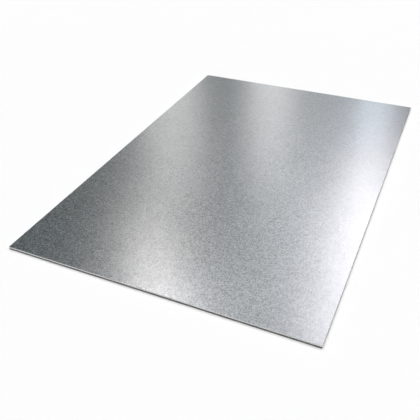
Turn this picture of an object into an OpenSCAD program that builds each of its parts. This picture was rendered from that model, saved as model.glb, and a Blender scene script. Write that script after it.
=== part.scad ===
// Flat galvanized steel sheet, cut to size on a guillotine shear.
// It lies on its bottom face, with the short sides along X and the long sides along Y.
// The origin is the middle of the bottom face, and +Z is up.

/* [Sheet] */
// Length of the short sides
sheet_width = 200; // [100:10:1000]
// Length of the long sides
sheet_length = 300; // [150:10:2000]
// Thickness over the zinc coating
thickness = 2; // [1:0.1:3]
// Radius of the corners, where the sharp points have been filed off
corner_radius = 0.6; // [0.5:0.1:3]

/* [Sheared edge] */
// Radius at the top of the edge, where the metal was drawn in before it was cut
rollover_radius = 0.18; // [0.1:0.02:0.3]
// Share of the thickness that broke away below the smooth cut
fracture_share = 0.63; // [0.3:0.01:0.68]
// How far the broken zone slopes inwards at the bottom face
fracture_setback = 0.1; // [0.04:0.01:0.15]

/* [Hidden] */
$fn = 64;
fracture_height = thickness * fracture_share;
straight_width = sheet_width - 2 * corner_radius;
straight_length = sheet_length - 2 * corner_radius;

// Section of the edge on the X side of the axis, from the corner's centre line outwards
module edge_section() {
    rollover_x = corner_radius - rollover_radius;
    rollover_z = thickness - rollover_radius;
    polygon([
        [0, 0],
        [corner_radius - fracture_setback, 0],
        [corner_radius, fracture_height],
        [corner_radius, rollover_z],
        [rollover_x, rollover_z],
        [rollover_x, thickness],
        [0, thickness]
    ]);
    intersection() {
        translate([rollover_x, rollover_z])
            circle(r = rollover_radius);
        translate([rollover_x, rollover_z])
            square(rollover_radius);
    }
}

// Straight run of the edge, with its outside towards +X and its length centred on the X axis
module edge_strip(length) {
    translate([0, length / 2, 0])
        rotate([90, 0, 0])
            linear_extrude(height = length)
                edge_section();
}

// Quarter turn of the edge round a corner, in the +X +Y quadrant
module edge_corner() {
    rotate_extrude(angle = 90)
        edge_section();
}

module galvanized_sheet() {
    color("#b4b9ba") {
        translate([-straight_width / 2, -straight_length / 2, 0])
            cube([straight_width, straight_length, thickness]);
        for (turn = [0, 180])
            rotate(turn) {
                translate([straight_width / 2, 0, 0])
                    edge_strip(straight_length);
                translate([0, straight_length / 2, 0])
                    rotate(90)
                        edge_strip(straight_width);
                translate([straight_width / 2, straight_length / 2, 0])
                    edge_corner();
                translate([-straight_width / 2, straight_length / 2, 0])
                    rotate(90)
                        edge_corner();
            }
    }
}

galvanized_sheet();
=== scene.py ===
"""Looks of the flat galvanized steel sheet: its zinc faces, its sheared edges, and a plain soft studio.

Everything is in metres in the row frame: +Z up, X along the short sides, Y along the long sides,
and the origin at the middle of the bottom face.
"""

import math

import bpy
from mathutils import Matrix, Vector, noise


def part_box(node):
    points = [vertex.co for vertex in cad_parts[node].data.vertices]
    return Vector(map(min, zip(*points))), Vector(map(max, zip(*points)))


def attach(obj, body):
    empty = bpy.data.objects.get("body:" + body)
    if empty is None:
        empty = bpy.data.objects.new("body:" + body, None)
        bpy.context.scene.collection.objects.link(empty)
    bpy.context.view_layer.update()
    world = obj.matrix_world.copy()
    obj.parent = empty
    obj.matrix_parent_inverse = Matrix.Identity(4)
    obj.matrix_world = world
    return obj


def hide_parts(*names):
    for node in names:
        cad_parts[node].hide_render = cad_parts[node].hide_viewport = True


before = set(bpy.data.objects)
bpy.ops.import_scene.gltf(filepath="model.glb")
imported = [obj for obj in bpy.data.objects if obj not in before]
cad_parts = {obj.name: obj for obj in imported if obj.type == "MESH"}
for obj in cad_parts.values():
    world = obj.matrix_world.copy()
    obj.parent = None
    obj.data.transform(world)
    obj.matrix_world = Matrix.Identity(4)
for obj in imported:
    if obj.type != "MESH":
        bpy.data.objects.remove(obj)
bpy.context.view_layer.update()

MM = 0.001
NODE = "galvanized_sheet"
LOW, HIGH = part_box(NODE)
WIDTH, LENGTH, THICKNESS = HIGH - LOW
CENTRE = (LOW + HIGH) / 2

# The sheared edge, with the same section as the CAD part
CORNER_RADIUS = 0.6 * MM
ROLLOVER_RADIUS = 0.18 * MM
FRACTURE_HEIGHT = 0.63 * THICKNESS
FRACTURE_SETBACK = 0.1 * MM


# ---------------------------------------------------------------- node helpers


def new_material(name):
    """A material with its node tree and its Principled BSDF."""
    material = bpy.data.materials.new(name)
    material.use_nodes = True
    tree = material.node_tree
    return material, tree, tree.nodes["Principled BSDF"]


def feed(tree, value, socket):
    """Links an output to an input, or sets the input to a plain value."""
    if isinstance(value, bpy.types.NodeSocket):
        tree.links.new(value, socket)
    else:
        socket.default_value = value


def add(tree, kind, **settings):
    """Adds a node. A setting named in_NAME goes to that input, and any other is the node's own."""
    node = tree.nodes.new(kind)
    for key, value in settings.items():
        if key.startswith("in_"):
            name = key[3:].replace("_", " ")
            feed(tree, value, next(s for s in node.inputs if s.name == name and s.enabled))
        else:
            setattr(node, key, value)
    return node


def calculate(tree, kind, operation, *values):
    """A Math or Vector Math node on plain values or outputs; gives the node."""
    node = add(tree, kind, operation=operation)
    for value, socket in zip(values, node.inputs):
        feed(tree, value, socket)
    return node


def math_node(tree, operation, *values):
    """A Math node; gives its output."""
    return calculate(tree, "ShaderNodeMath", operation, *values).outputs[0]


def vector_node(tree, operation, *values):
    """A Vector Math node; gives its vector output."""
    return calculate(tree, "ShaderNodeVectorMath", operation, *values).outputs[0]


def toned(tree, colour, tone):
    """A colour made lighter or darker by a factor from nodes."""
    node = calculate(tree, "ShaderNodeVectorMath", "SCALE", colour)
    feed(tree, tone, node.inputs["Scale"])
    return node.outputs[0]


def spread(tree, value, low, high, from_low=0.0, from_high=1.0):
    """Maps a value from one range to another, and holds it at the ends; gives the result."""
    node = add(tree, "ShaderNodeMapRange", in_Value=value)
    node.inputs["From Min"].default_value = from_low
    node.inputs["From Max"].default_value = from_high
    node.inputs["To Min"].default_value = low
    node.inputs["To Max"].default_value = high
    return node.outputs["Result"]


def noise_texture(tree, coordinates, size, detail=2.0, roughness=0.5):
    """Noise whose features are about that size, in metres; gives its value."""
    node = add(tree, "ShaderNodeTexNoise", in_Vector=coordinates, in_Scale=1 / size)
    node.inputs["Detail"].default_value = detail
    node.inputs["Roughness"].default_value = roughness
    return node.outputs["Fac"]


# Most of a noise texture's values lie between these
NOISE_LOW, NOISE_HIGH = 0.3, 0.7


def noise_spread(tree, value, low, high):
    """Maps a noise texture's usual values to a range."""
    return spread(tree, value, low, high, NOISE_LOW, NOISE_HIGH)


def object_place(tree):
    """The place on the sheet, in metres."""
    return add(tree, "ShaderNodeTexCoord").outputs["Object"]


def mix_shaders(tree, share, first, second):
    """A mix of two shader nodes, with that share of the second; gives the node."""
    mix = add(tree, "ShaderNodeMixShader", in_Fac=share)
    tree.links.new(first.outputs[0], mix.inputs[1])
    tree.links.new(second.outputs[0], mix.inputs[2])
    return mix


# ---------------------------------------------------------------- zinc

ZINC = (0.565, 0.585, 0.598)
HAZE = (0.465, 0.600, 0.607)
GRAIN_SIZE = 0.55 * MM
GRAIN_TONE = 0.225  # the share by which a grain may be paler or darker than ZINC
GRAIN_TILT = 0.02  # how far a grain may tip the normal, along X and along Y
CLOUD_SIZE = 25 * MM
CLOUD_TONE = 0.015
BRIGHT_ROUGHNESS, FROSTED_ROUGHNESS = 0.215, 0.32
LEAST_FROST, MOST_FROST = 0.27, 0.5  # the frosted share of the darkest and the palest grain
FROST_HAZE = 0.13  # the matt share of the palest grain

# How lively the grain's contrast is: fullest at the near end, less at the far end and on the right
NEAR_LIFE, FAR_LIFE, LIFE_START = 1.09, 0.5, -0.27 * LENGTH
MARGIN_LIFE, MARGIN_START, MARGIN_END = 0.28, 0.33 * WIDTH, 0.49 * WIDTH


def grain_liveliness(tree, where):
    """How much of its full contrast the grain has at each place."""
    place = add(tree, "ShaderNodeSeparateXYZ", in_Vector=where)
    along = spread(tree, place.outputs["Y"], NEAR_LIFE, FAR_LIFE, LIFE_START, HIGH.y)
    across = spread(tree, place.outputs["X"], 1.0, MARGIN_LIFE, MARGIN_START, MARGIN_END)
    return math_node(tree, "MULTIPLY", along, across)


def grain_normal(tree, chance_x, chance_y):
    """The surface's normal, tipped a little for each grain."""
    tilt = add(tree, "ShaderNodeCombineXYZ")
    tree.links.new(spread(tree, chance_x, -GRAIN_TILT, GRAIN_TILT), tilt.inputs["X"])
    tree.links.new(spread(tree, chance_y, -GRAIN_TILT, GRAIN_TILT), tilt.inputs["Y"])
    normal = add(tree, "ShaderNodeNewGeometry").outputs["Normal"]
    return vector_node(tree, "NORMALIZE", vector_node(tree, "ADD", normal, tilt.outputs[0]))


def zinc_material():
    """Hot-dip zinc with a minimised spangle: grains of half a millimetre, each a little tilted, and each
    a different mix of bright, frosted and matt zinc. The paler grains are the more frosted ones."""
    material, tree, bright = new_material("zinc_spangle")
    where = object_place(tree)
    grain = add(tree, "ShaderNodeTexVoronoi", in_Vector=where, in_Scale=1 / GRAIN_SIZE)
    chance = add(tree, "ShaderNodeSeparateColor", in_Color=grain.outputs["Color"])

    frost = math_node(tree, "SUBTRACT", chance.outputs[0], 0.5)
    frost = math_node(tree, "MULTIPLY_ADD", frost, grain_liveliness(tree, where), 0.5)
    cloud = noise_spread(tree, noise_texture(tree, where, CLOUD_SIZE), -CLOUD_TONE, CLOUD_TONE)
    tone = math_node(tree, "ADD", spread(tree, frost, 1 - GRAIN_TONE, 1 + GRAIN_TONE), cloud)

    colour = toned(tree, ZINC, tone)
    normal = grain_normal(tree, chance.outputs[1], chance.outputs[2])
    frosted = tree.nodes.new("ShaderNodeBsdfPrincipled")
    for shader, roughness in ((bright, BRIGHT_ROUGHNESS), (frosted, FROSTED_ROUGHNESS)):
        tree.links.new(colour, shader.inputs["Base Color"])
        tree.links.new(normal, shader.inputs["Normal"])
        shader.inputs["Metallic"].default_value = 1.0
        shader.inputs["Roughness"].default_value = roughness
    haze = add(tree, "ShaderNodeBsdfDiffuse", in_Color=toned(tree, HAZE, tone))

    metal = mix_shaders(tree, spread(tree, frost, LEAST_FROST, MOST_FROST), bright, frosted)
    hazy = mix_shaders(tree, math_node(tree, "MULTIPLY", frost, FROST_HAZE), metal, haze)
    tree.links.new(hazy.outputs[0], tree.nodes["Material Output"].inputs["Surface"])
    return material


# ---------------------------------------------------------------- sheared edge

LAND = (0.72, 0.72, 0.71)
LAND_ROUGHNESS = (0.28, 0.42)
MARK_SIZE, MARK_TONE, MARK_DEPTH = 0.25 * MM, 0.08, 0.02 * MM
MARK_SCALE = (1.0, 1.0, 0.12)  # the marks change more slowly upwards, so they are long and upright
LAND_PATCH_SIZE, LAND_PATCH_TONE = 5 * MM, 0.05

# The torn zone's colour: dull torn steel, made darker still with painted shade that stands in for the
# contact shadow under the edge
TORN_STEEL_AND_PAINTED_SHADE = (0.17, 0.165, 0.16)
TORN_ROUGHNESS = (0.55, 0.8)
GRIT_SIZE, GRIT_TONE, GRIT_DEPTH = 0.12 * MM, 0.25, 0.04 * MM
TORN_PATCH_SIZE, TORN_PATCH_TONE = 4 * MM, 0.12


def dress_steel(tree, shader, colour, roughness, texture, strength, depth):
    """Bare steel whose roughness and bumps follow one fine texture."""
    tree.links.new(colour, shader.inputs["Base Color"])
    tree.links.new(noise_spread(tree, texture, *roughness), shader.inputs["Roughness"])
    bump = add(tree, "ShaderNodeBump", in_Height=texture, in_Strength=strength, in_Distance=depth)
    tree.links.new(bump.outputs["Normal"], shader.inputs["Normal"])
    shader.inputs["Metallic"].default_value = 1.0


def land_material():
    """The upper third of a sheared edge: steel rubbed smooth by the blade, with faint upright marks."""
    material, tree, shader = new_material("sheared_land")
    where = object_place(tree)
    stretched = vector_node(tree, "MULTIPLY", where, MARK_SCALE)
    marks = noise_texture(tree, stretched, MARK_SIZE, detail=3.0)
    patches = noise_texture(tree, where, LAND_PATCH_SIZE)
    tone = math_node(tree, "ADD", noise_spread(tree, marks, -MARK_TONE, MARK_TONE),
                     noise_spread(tree, patches, 1 - LAND_PATCH_TONE, 1 + LAND_PATCH_TONE))
    dress_steel(tree, shader, toned(tree, LAND, tone), LAND_ROUGHNESS, marks, 0.4, MARK_DEPTH)
    return material


def fracture_material():
    """The lower two thirds of a sheared edge: steel that tore, matt, dark and grainy. The dark is partly
    the dull torn steel and partly painted shade that stands in for the contact shadow under the edge.
    """
    material, tree, shader = new_material("sheared_fracture")
    where = object_place(tree)
    grit = noise_texture(tree, where, GRIT_SIZE, detail=4.0, roughness=0.6)
    patches = noise_texture(tree, where, TORN_PATCH_SIZE)
    tone = math_node(tree, "ADD", noise_spread(tree, grit, 1 - GRIT_TONE, 1 + GRIT_TONE),
                     noise_spread(tree, patches, -TORN_PATCH_TONE, TORN_PATCH_TONE))
    dress_steel(tree, shader, toned(tree, TORN_STEEL_AND_PAINTED_SHADE, tone), TORN_ROUGHNESS, grit, 0.8, GRIT_DEPTH)
    return material


# ---------------------------------------------------------------- the sheet

FACE_STEP = 2.5 * MM
UNDER_STEP = 10 * MM
EDGE_STEPS = 4  # steps along a straight side for each FACE_STEP
CORNER_STEPS = 6
ROLLOVER_STEPS = 5
FACE_RING_INSET = 0.24 * MM
SHARP_ANGLE = 35.0
ZINC_SLOT, LAND_SLOT, FRACTURE_SLOT = range(3)

WAVE_HEIGHT = 0.03 * MM
LONG_WAVE, SHORT_WAVE = (0.07, 0.11), (0.028, 0.036)  # sizes along X and Y
LONG_SLICE, SHORT_SLICE = 0.3, 7.1  # where in the noise the two kinds of wave are taken
LONG_SHARE, SHORT_SHARE = 0.7, 0.3

RAGGED_HEIGHT = 0.09 * MM  # how far the torn zone's upper line strays up and down
COARSE_TEAR, FINE_TEAR = 1.8 * MM, 0.7 * MM
PIT_SIZE, PIT_DEPTH = 0.6 * MM, 0.02 * MM


def wave(x, y):
    """How far the face lies below its highest point, as a negative height: long, shallow waves left
    by rolling."""
    long_wave = noise.noise(Vector((x / LONG_WAVE[0], y / LONG_WAVE[1], LONG_SLICE)))
    short_wave = noise.noise(Vector((x / SHORT_WAVE[0], y / SHORT_WAVE[1], SHORT_SLICE)))
    return WAVE_HEIGHT * (LONG_SHARE * long_wave + SHORT_SHARE * short_wave - 1.0)


def outline():
    """Points round the sheet, each with the direction outwards: (x, y, direction x, direction y).
    The points are the middles of the corners' arcs and the lines between those, so the sheet's edge
    is CORNER_RADIUS further out."""
    half_x = WIDTH / 2 - CORNER_RADIUS
    half_y = LENGTH / 2 - CORNER_RADIUS
    corners = [(half_x, -half_y, 270), (half_x, half_y, 0),
               (-half_x, half_y, 90), (-half_x, -half_y, 180)]
    points = []
    for (x, y, start), (next_x, next_y, _) in zip(corners, corners[1:] + corners[:1]):
        for step in range(CORNER_STEPS):
            angle = math.radians(start + 90 * step / CORNER_STEPS)
            points.append((x, y, math.cos(angle), math.sin(angle)))
        angle = math.radians(start + 90)
        out_x, out_y = math.cos(angle), math.sin(angle)
        side = math.hypot(next_x - x, next_y - y)
        count = EDGE_STEPS * round((side + 2 * CORNER_RADIUS) / FACE_STEP)
        for step in range(count):
            share = step / count
            points.append((x + (next_x - x) * share, y + (next_y - y) * share, out_x, out_y))
    return points


def section():
    """The edge's section from the top face down to the bottom face, as rings:
    (how far in from the edge, height, how torn it is from 0 to 1, the material below it)."""
    rings = [(FACE_RING_INSET, THICKNESS, 0.0, ZINC_SLOT)]
    for step in range(ROLLOVER_STEPS + 1):
        angle = math.radians(90 * (1 - step / ROLLOVER_STEPS))
        inset = ROLLOVER_RADIUS * (1 - math.cos(angle))
        height = THICKNESS - ROLLOVER_RADIUS * (1 - math.sin(angle))
        rings.append((inset, height, 0.0, ZINC_SLOT if step < ROLLOVER_STEPS - 1 else LAND_SLOT))
    rings.append((0.0, (THICKNESS + FRACTURE_HEIGHT) / 2, 0.0, LAND_SLOT))
    rings.append((0.0, FRACTURE_HEIGHT, 1.0, FRACTURE_SLOT))
    for share in (0.25, 0.5, 0.75):
        rings.append((FRACTURE_SETBACK * share, FRACTURE_HEIGHT * (1 - share), 1.0 - share, FRACTURE_SLOT))
    rings.append((FRACTURE_SETBACK, 0.0, 0.0, ZINC_SLOT))
    return rings


def noise_at(x, y, z, size):
    """Noise from -1 to 1 whose features are about that size."""
    return noise.noise(Vector((x, y, z)) / size)


def edge_vertex(point, inset, height, tear):
    """One point of a ring, moved by the tear or the waves."""
    x, y, out_x, out_y = point
    reach = CORNER_RADIUS - inset
    px, py, pz = x + out_x * reach, y + out_y * reach, height
    if tear:
        ragged = noise_at(px, py, 0.0, COARSE_TEAR) + 0.5 * noise_at(px, py, 1.0, FINE_TEAR)
        pz += tear * RAGGED_HEIGHT * ragged
        pull = PIT_DEPTH * (1 + noise_at(px, py, pz, PIT_SIZE))
        px -= out_x * pull
        py -= out_y * pull
    if height > FRACTURE_HEIGHT:
        pz += wave(px, py)
    return px, py, pz


def build_sheet():
    """One closed mesh: the section swept round the outline, and both faces filled."""
    points = outline()
    rings = section()
    count = len(points)
    vertices, faces, slots = [], [], []
    for inset, height, tear, _ in rings:
        vertices.extend(edge_vertex(point, inset, height, tear) for point in points)
    for ring in range(len(rings) - 1):
        for k in range(count):
            a, b = ring * count + k, ring * count + (k + 1) % count
            faces.append((a, a + count, b + count, b))
            slots.append(rings[ring][3])
    last = (len(rings) - 1) * count
    fill_face(vertices, faces, slots, list(range(count)), top=True)
    fill_face(vertices, faces, slots, list(range(last, last + count)), top=False)
    mesh = bpy.data.meshes.new("sheet")
    mesh.from_pydata(vertices, [], faces)
    mesh.validate()
    for material in (zinc_material(), land_material(), fracture_material()):
        mesh.materials.append(material)
    mesh.polygons.foreach_set("material_index", slots)
    mesh.polygons.foreach_set("use_smooth", [True] * len(mesh.polygons))
    mesh.set_sharp_from_angle(angle=math.radians(SHARP_ANGLE))
    sheet = bpy.data.objects.new("sheet", mesh)
    bpy.context.scene.collection.objects.link(sheet)
    return sheet


def fill_face(vertices, faces, slots, ring, top):
    """The top or bottom face inside its ring: a grid of squares, which carries the waves at the top."""
    step = FACE_STEP if top else UNDER_STEP
    columns = round(WIDTH / step) - 2
    rows = round(LENGTH / step) - 2
    start = len(vertices)
    left, front = -step * columns / 2, -step * rows / 2
    for row in range(rows + 1):
        for column in range(columns + 1):
            x, y = left + column * step, front + row * step
            vertices.append((x, y, THICKNESS + wave(x, y) if top else 0.0))

    def at(column, row):
        return start + row * (columns + 1) + column

    made = []
    for row in range(rows):
        for column in range(columns):
            near = (at(column, row), at(column + 1, row))
            far = (at(column + 1, row + 1), at(column, row + 1))
            made.append(near + far)
    rim = [at(columns, row) for row in range(rows)]
    rim += [at(column, rows) for column in range(columns, 0, -1)]
    rim += [at(0, row) for row in range(rows, 0, -1)]
    rim += [at(column, 0) for column in range(columns)]
    made += join_rings(vertices, ring, rim)
    faces.extend(face if top else face[::-1] for face in made)
    slots.extend([ZINC_SLOT] * len(made))


def join_rings(vertices, outer, inner):
    """Triangles between two closed rings that turn the same way, always across the shorter gap."""
    def gap(a, b):
        return (Vector(vertices[a]) - Vector(vertices[b])).length

    first = min(range(len(outer)), key=lambda k: gap(outer[k], inner[0]))
    outer = outer[first:] + outer[:first]
    made = []
    i = j = 0
    while i < len(outer) or j < len(inner):
        a, b = outer[i % len(outer)], inner[j % len(inner)]
        next_a, next_b = outer[(i + 1) % len(outer)], inner[(j + 1) % len(inner)]
        if j == len(inner) or (i < len(outer) and gap(next_a, b) <= gap(a, next_b)):
            made.append((a, next_a, b))
            i += 1
        else:
            made.append((a, next_b, b))
            j += 1
    return made


# ---------------------------------------------------------------- floor and background

FLOOR_RADIUS = 3.5
FLOOR_SIDES = 96
FLOOR_COLOUR = (0.970, 0.970, 0.970, 1.0)
BACKGROUND = (0.99, 0.99, 0.99, 1.0)
FADE_START, FADE_END = 0.22, 0.6  # where the floor turns into the plain background

# How bright the studio is at each height above the horizon, as (sine of the elevation, brightness)
STUDIO_LEVELS = [(0.0, 0.9), (0.08, 0.85), (0.28, 0.06), (0.5, 0.02)]
STUDIO_TINT = (0.93, 1.02, 1.04)


def floor_material():
    """Matt and pale near the sheet, where it takes the shadow, and plain background further out."""
    material, tree, shader = new_material("floor")
    shader.inputs["Base Color"].default_value = FLOOR_COLOUR
    shader.inputs["Roughness"].default_value = 1.0
    shader.inputs["Specular IOR Level"].default_value = 0.0
    distance = calculate(tree, "ShaderNodeVectorMath", "LENGTH", object_place(tree)).outputs["Value"]
    path = add(tree, "ShaderNodeLightPath")
    seen = math_node(tree, "MAXIMUM", path.outputs["Is Camera Ray"], path.outputs["Is Glossy Ray"])
    fade = math_node(tree, "MULTIPLY", seen, spread(tree, distance, 0.0, 1.0, FADE_START, FADE_END))
    white = tree.nodes.new("ShaderNodeEmission")
    white.inputs["Color"].default_value = BACKGROUND
    mix = mix_shaders(tree, fade, shader, white)
    tree.links.new(mix.outputs[0], tree.nodes["Material Output"].inputs["Surface"])
    return material


def build_floor():
    """A plain pale disc at the sheet's underside."""
    angles = [2 * math.pi * k / FLOOR_SIDES for k in range(FLOOR_SIDES)]
    ring = [(FLOOR_RADIUS * math.cos(angle), FLOOR_RADIUS * math.sin(angle), LOW.z) for angle in angles]
    mesh = bpy.data.meshes.new("floor")
    mesh.from_pydata(ring, [], [tuple(range(FLOOR_SIDES))])
    mesh.materials.append(floor_material())
    floor = bpy.data.objects.new("floor", mesh)
    bpy.context.scene.collection.objects.link(floor)


def build_world():
    """The studio behind the lamps: pale near the horizon and dim above it. The camera sees it white."""
    world = bpy.data.worlds.new("studio")
    bpy.context.scene.world = world
    world.use_nodes = True
    world.cycles_visibility.diffuse = False
    tree = world.node_tree
    way = add(tree, "ShaderNodeTexCoord").outputs["Generated"]
    height = add(tree, "ShaderNodeSeparateXYZ", in_Vector=way).outputs["Z"]
    ramp = add(tree, "ShaderNodeValToRGB", in_Fac=height)
    elements = ramp.color_ramp.elements
    while len(elements) < len(STUDIO_LEVELS):
        elements.new(0.5)
    for element, (position, level) in zip(elements, STUDIO_LEVELS):
        element.position = position
        element.color = (*(level * part for part in STUDIO_TINT), 1.0)
    seen = add(tree, "ShaderNodeLightPath").outputs["Is Camera Ray"]
    colour = add(tree, "ShaderNodeMix", data_type="RGBA", in_Factor=seen,
                 in_A=ramp.outputs["Color"], in_B=BACKGROUND)
    result = next(s for s in colour.outputs if s.enabled)
    tree.links.new(result, tree.nodes["Background"].inputs["Color"])


# ---------------------------------------------------------------- lamps

LAMP_DISTANCE = 6.0
WHITE = (1.0, 1.0, 1.0)


def direction(azimuth, elevation):
    """The unit vector at that compass angle from +Y towards +X, and that angle above the floor."""
    a, e = math.radians(azimuth), math.radians(elevation)
    return Vector((math.sin(a) * math.cos(e), math.cos(a) * math.cos(e), math.sin(e)))


def softbox(name, azimuth, elevation, wide, high, brightness, tint=WHITE, lights=True, mirrored=True):
    """A soft rectangular lamp, aimed at the sheet. wide and high are the angles that it fills,
    in degrees, and brightness is how bright its face looks, with 1 as white. One that doesn't light
    shows only in reflections, and one that isn't mirrored only lights."""
    lamp = bpy.data.lights.new(name, "AREA")
    lamp.shape = "RECTANGLE"
    lamp.size = 2 * LAMP_DISTANCE * math.tan(math.radians(wide / 2))
    lamp.size_y = 2 * LAMP_DISTANCE * math.tan(math.radians(high / 2))
    lamp.energy = brightness * math.pi * lamp.size * lamp.size_y
    lamp.color = tint
    box = bpy.data.objects.new(name, lamp)
    bpy.context.scene.collection.objects.link(box)
    towards = direction(azimuth, elevation)
    box.location = CENTRE + towards * LAMP_DISTANCE
    box.rotation_mode = "QUATERNION"
    box.rotation_quaternion = towards.to_track_quat("Z", "Y")
    box.visible_diffuse = lights
    box.visible_glossy = mirrored


def panel(name, azimuth, elevation, wide, high, brightness, tint=WHITE):
    """A softbox that shows only in reflections."""
    softbox(name, azimuth, elevation, wide, high, brightness, tint, lights=False)


def build_lights():
    """The lamps, and the panels all round that only show in the zinc. Two lamps at the same place would
    hide each other, so the overhead lamp and its panel are at different elevations."""
    softbox("overhead", 180.0, 76.0, 56.0, 60.0, 1.56, mirrored=False)
    panel("overhead_panel", 180.0, 80.0, 56.0, 56.0, 0.9)
    softbox("sky", -10.0, 62.0, 70.0, 44.0, 1.69, mirrored=False)
    softbox("front_fill", 180.0, 42.0, 80.0, 40.0, 0.75)
    panel("left_panel", -90.0, 36.0, 30.0, 44.0, 0.85, (0.96, 1.0, 1.01))
    softbox("back_right_fill", 64.0, 52.0, 40.0, 30.0, 1.0)
    panel("right_fill", 110.0, 28.0, 40.0, 36.0, 0.7)
    panel("left_low_panel", -64.0, 20.0, 22.0, 22.0, 0.4, (0.90, 1.01, 1.02))
    panel("back_right_low_panel", 50.0, 23.0, 46.0, 18.0, 0.75)


def build_bands():
    """The panels behind the sheet, which the zinc shows as pale bands. left_strip makes the one at the
    left side, middle_strip the one that comes in from the far edge, and right_panel, middle_right_panel
    and low_right_strip the one along the right-hand side. high_left_panel and near_left_patch make the
    pale place by the near edge. back_fill and small_middle_panel lift the greys between them."""
    panel("left_strip", -29.6, 23.5, 6.3, 22.5, 1.10, (1.03, 0.98, 0.96))
    panel("middle_strip", -17.8, 21.0, 4.7, 24.0, 1.37, (1.02, 0.98, 0.97))
    panel("right_panel", -4.0, 44.5, 7.0, 18.0, 2.40, (1.02, 0.94, 0.98))
    panel("middle_right_panel", -5.0, 32.5, 4.6, 7.0, 3.28, (1.03, 0.95, 0.97))
    panel("high_left_panel", -33.5, 53.0, 5.0, 33.0, 2.04, (1.05, 0.97, 0.93))
    panel("back_fill", 14.5, 46.5, 56.0, 23.0, 0.48, (0.95, 0.98, 1.02))
    panel("small_middle_panel", -11.5, 25.5, 3.5, 37.0, 0.45, (0.96, 0.96, 1.04))
    panel("low_right_strip", -6.1, 24.0, 2.4, 8.0, 2.65, (0.89, 0.97, 1.09))
    panel("near_left_patch", -33.8, 50.0, 5.4, 9.5, 2.55, (0.99, 0.97, 1.02))


# ---------------------------------------------------------------- camera

CAMERA_AZIMUTH = 20.6
CAMERA_ELEVATION = 30.99
CAMERA_DISTANCE = 1.4334 * LENGTH
CAMERA_ROLL = 1.07
AIM = Vector((-0.0087 * WIDTH, -0.2076 * LENGTH, LOW.z))
FOCAL_LENGTH, SENSOR_WIDTH = 48.2, 36.0
CLIP_START, CLIP_END = 0.01, 50.0


def build_camera():
    """Looks down on the sheet from its front right, aimed at a point in the nearer half."""
    data = bpy.data.cameras.new("camera")
    data.lens = FOCAL_LENGTH
    data.sensor_width = SENSOR_WIDTH
    data.clip_start = CLIP_START
    data.clip_end = CLIP_END
    camera = bpy.data.objects.new("camera", data)
    bpy.context.scene.collection.objects.link(camera)
    camera.location = CENTRE + CAMERA_DISTANCE * direction(180 - CAMERA_AZIMUTH, CAMERA_ELEVATION)
    back = (camera.location - AIM).normalized()
    turn = back.to_track_quat("Z", "Y").to_matrix() @ Matrix.Rotation(math.radians(-CAMERA_ROLL), 3, "Z")
    camera.rotation_mode = "QUATERNION"
    camera.rotation_quaternion = turn.to_quaternion()
    bpy.context.scene.camera = camera


bpy.context.scene.view_settings.view_transform = "Standard"
build_camera()
build_floor()
build_world()
build_lights()
build_bands()
sheet = build_sheet()
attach(sheet, "root")
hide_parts(NODE)
